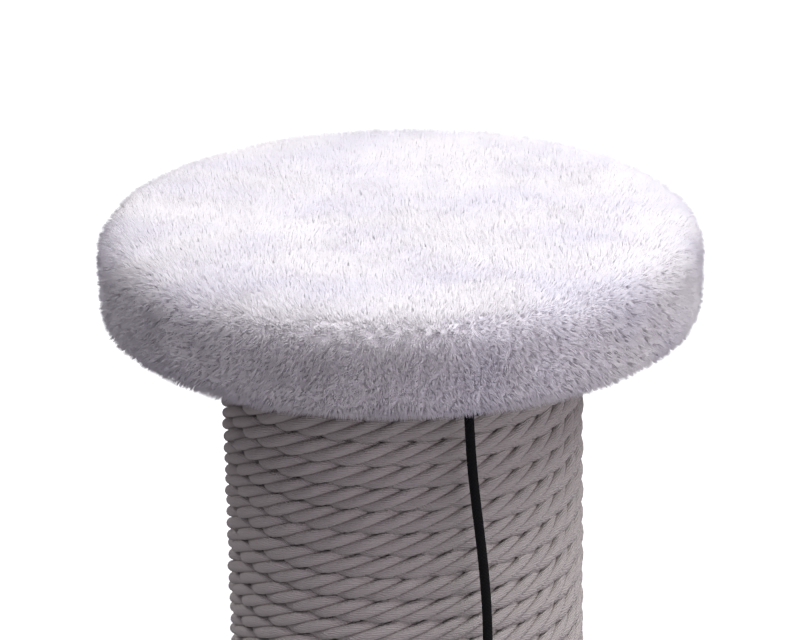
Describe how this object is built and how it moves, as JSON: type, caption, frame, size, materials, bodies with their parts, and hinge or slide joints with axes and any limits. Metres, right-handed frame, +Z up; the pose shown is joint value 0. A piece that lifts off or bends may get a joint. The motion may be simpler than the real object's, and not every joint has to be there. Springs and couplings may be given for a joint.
{
  "type": "cat scratching post",
  "caption": "Round post wound with cotton rope on a round fur-covered base, with a padded fur platform on top and a plush ball hanging from it on an elastic cord.",
  "frame": {"origin": "centre of the base, on the floor under the feet", "axes": "+Z up along the post's axis, -Y towards the front; the toy hangs in front, 16.7 degrees to the right (+X)"},
  "size_m": [0.38, 0.38, 0.552],
  "materials": {
    "white_faux_fur": "matte",
    "cotton_rope": "matte",
    "felt_lining": "matte",
    "board": "matte",
    "cardboard_tube": "matte",
    "foam": "matte",
    "zinc_plated_steel": "satin",
    "black_elastic": "matte",
    "foot_pad": "matte",
    "fibre_filling": "matte"
  },
  "bodies": {
    "post": {"base_feet": "foot_pad", "base_lining": "felt_lining", "base_board": "board", "base_fur_cover": "white_faux_fur", "base_staples": "zinc_plated_steel", "base_washer": "zinc_plated_steel", "base_bolt": "zinc_plated_steel", "post_tube": "cardboard_tube", "post_bottom_plug": "board", "post_bottom_tee_nut": "zinc_plated_steel", "post_bottom_staples": "zinc_plated_steel", "post_top_plug": "board", "post_top_tee_nut": "zinc_plated_steel", "post_top_staples": "zinc_plated_steel", "post_stud": "zinc_plated_steel", "post_rope_lower": "cotton_rope", "post_rope_upper": "cotton_rope", "post_rope_staples": "zinc_plated_steel", "platform_board": "board", "platform_tee_nut": "zinc_plated_steel", "platform_foam_pad": "foam", "platform_fur_cover": "white_faux_fur", "platform_lining": "felt_lining", "platform_staples": "zinc_plated_steel", "toy_screw_eye": "zinc_plated_steel"},
    "toy_top": {"toy_loop": "black_elastic"},
    "toy_line": {"toy_cord": "black_elastic"},
    "toy_ball": {"toy_ball_cover": "white_faux_fur", "toy_ball_stuffing": "fibre_filling", "toy_ball_knot": "black_elastic"}
  },
  "joints": [
    {"name": "toy_swing_out", "type": "hinge", "parent": "post", "child": "toy_top", "pos_m": [0.02629, -0.08764, 0.5058], "axis": [-0.9578, -0.2874, 0], "range_deg": [0, 60]},
    {"name": "toy_swing_side", "type": "hinge", "parent": "toy_top", "child": "toy_line", "pos_m": [0.02629, -0.08764, 0.5008], "axis": [0.2874, -0.9578, 0], "range_deg": [-65, 65]},
    {"name": "toy_stretch", "type": "slide", "parent": "toy_line", "child": "toy_ball", "axis": [0, 0, -1], "range_m": [0, 0.08], "stiffness_N_per_m": 20, "springref_m": -0.00427, "deforming": ["toy_cord"]}
  ]
}
